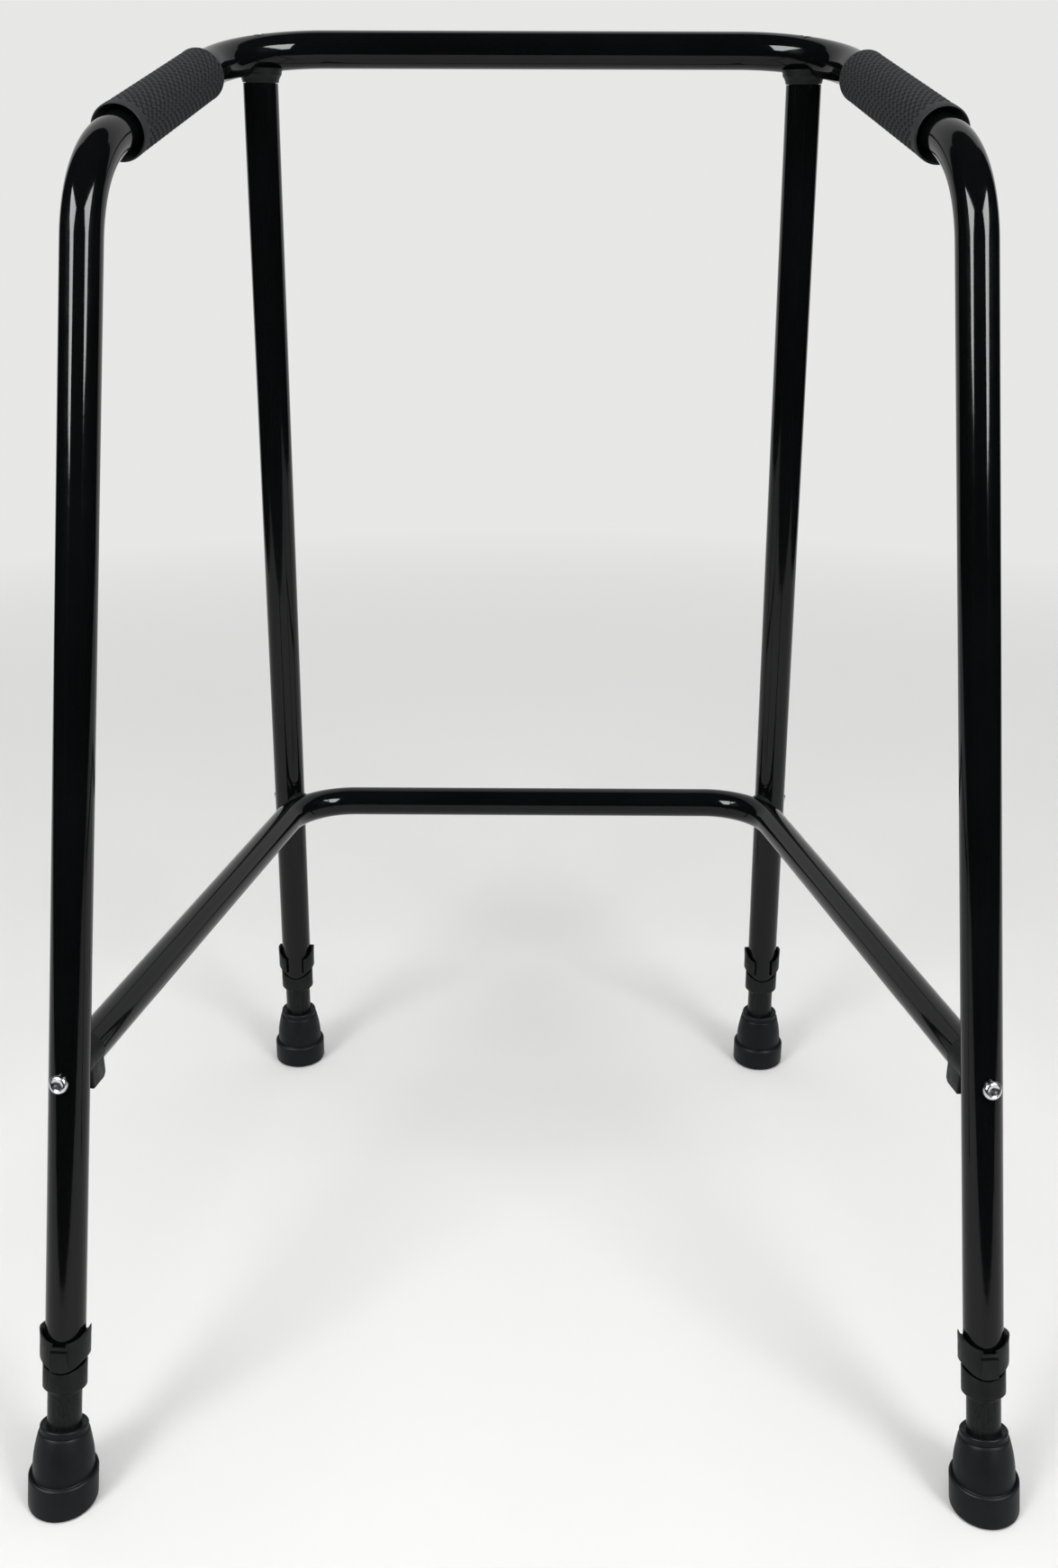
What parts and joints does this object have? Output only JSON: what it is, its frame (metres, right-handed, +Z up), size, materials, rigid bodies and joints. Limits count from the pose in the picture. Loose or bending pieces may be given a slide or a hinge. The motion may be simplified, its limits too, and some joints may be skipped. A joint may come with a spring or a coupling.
{
  "type": "walking frame",
  "caption": "Tubular walking frame: bent rear legs, hand rails and front bar in one tube, front legs, U-shaped lower brace, padded grips, clip-locked height-adjustable legs and rubber feet.",
  "frame": {"origin": "on the floor, under the middle of the footprint's bounding box", "axes": "+Z up, +Y forwards for the person who walks inside the frame, +X to that person's right"},
  "size_m": [0.6424, 0.5691, 0.873],
  "materials": {
    "black_enamel": "gloss",
    "black_extension": "semi-gloss",
    "black_plastic": "satin",
    "grip_rubber": "matte",
    "ferrule_rubber": "matte",
    "bright_zinc": "satin"
  },
  "bodies": {
    "frame": {"main_tube": "black_enamel", "front_leg_left": "black_enamel", "front_leg_right": "black_enamel", "lower_brace": "black_enamel", "grip_left": "grip_rubber", "leg_top_plug_left": "black_plastic", "leg_top_screw_left": "bright_zinc", "brace_end_plug_left": "black_plastic", "brace_rear_screw_left": "bright_zinc", "brace_saddle_left": "black_plastic", "brace_front_screw_left": "bright_zinc", "grip_right": "grip_rubber", "leg_top_plug_right": "black_plastic", "leg_top_screw_right": "bright_zinc", "brace_end_plug_right": "black_plastic", "brace_rear_screw_right": "bright_zinc", "brace_saddle_right": "black_plastic", "brace_front_screw_right": "bright_zinc", "leg_collar_rear_left": "black_plastic", "leg_collar_rear_right": "black_plastic", "leg_collar_front_left": "black_plastic", "leg_collar_front_right": "black_plastic"},
    "leg_end_rear_left": {"leg_extension_rear_left": "black_extension", "ferrule_rear_left": "ferrule_rubber", "ferrule_washer_rear_left": "bright_zinc"},
    "clip_rear_left": {"height_clip_rear_left": "black_plastic"},
    "leg_end_rear_right": {"leg_extension_rear_right": "black_extension", "ferrule_rear_right": "ferrule_rubber", "ferrule_washer_rear_right": "bright_zinc"},
    "clip_rear_right": {"height_clip_rear_right": "black_plastic"},
    "leg_end_front_left": {"leg_extension_front_left": "black_extension", "ferrule_front_left": "ferrule_rubber", "ferrule_washer_front_left": "bright_zinc"},
    "clip_front_left": {"height_clip_front_left": "black_plastic"},
    "leg_end_front_right": {"leg_extension_front_right": "black_extension", "ferrule_front_right": "ferrule_rubber", "ferrule_washer_front_right": "bright_zinc"},
    "clip_front_right": {"height_clip_front_right": "black_plastic"}
  },
  "joints": [
    {"name": "height_rear_left", "type": "slide", "parent": "frame", "child": "leg_end_rear_left", "axis": [-0.0504, -0.2803, -0.9586], "range_m": [0, 0.1]},
    {"name": "unclip_rear_left", "type": "slide", "parent": "frame", "child": "clip_rear_left", "axis": [0.0147, -0.9599, 0.2799], "range_m": [0, 0.03], "deforming": ["height_clip_rear_left"]},
    {"name": "height_rear_right", "type": "slide", "parent": "frame", "child": "leg_end_rear_right", "axis": [0.0504, -0.2803, -0.9586], "range_m": [0, 0.1]},
    {"name": "unclip_rear_right", "type": "slide", "parent": "frame", "child": "clip_rear_right", "axis": [-0.0147, -0.9599, 0.2799], "range_m": [0, 0.03], "deforming": ["height_clip_rear_right"]},
    {"name": "height_front_left", "type": "slide", "parent": "frame", "child": "leg_end_front_left", "axis": [-0.0237, 0.0122, -0.9996], "range_m": [0, 0.1]},
    {"name": "unclip_front_left", "type": "slide", "parent": "frame", "child": "clip_front_left", "axis": [0.0003, 0.9999, 0.0122], "range_m": [0, 0.03], "deforming": ["height_clip_front_left"]},
    {"name": "height_front_right", "type": "slide", "parent": "frame", "child": "leg_end_front_right", "axis": [0.0237, 0.0122, -0.9996], "range_m": [0, 0.1]},
    {"name": "unclip_front_right", "type": "slide", "parent": "frame", "child": "clip_front_right", "axis": [-0.0003, 0.9999, 0.0122], "range_m": [0, 0.03], "deforming": ["height_clip_front_right"]}
  ]
}
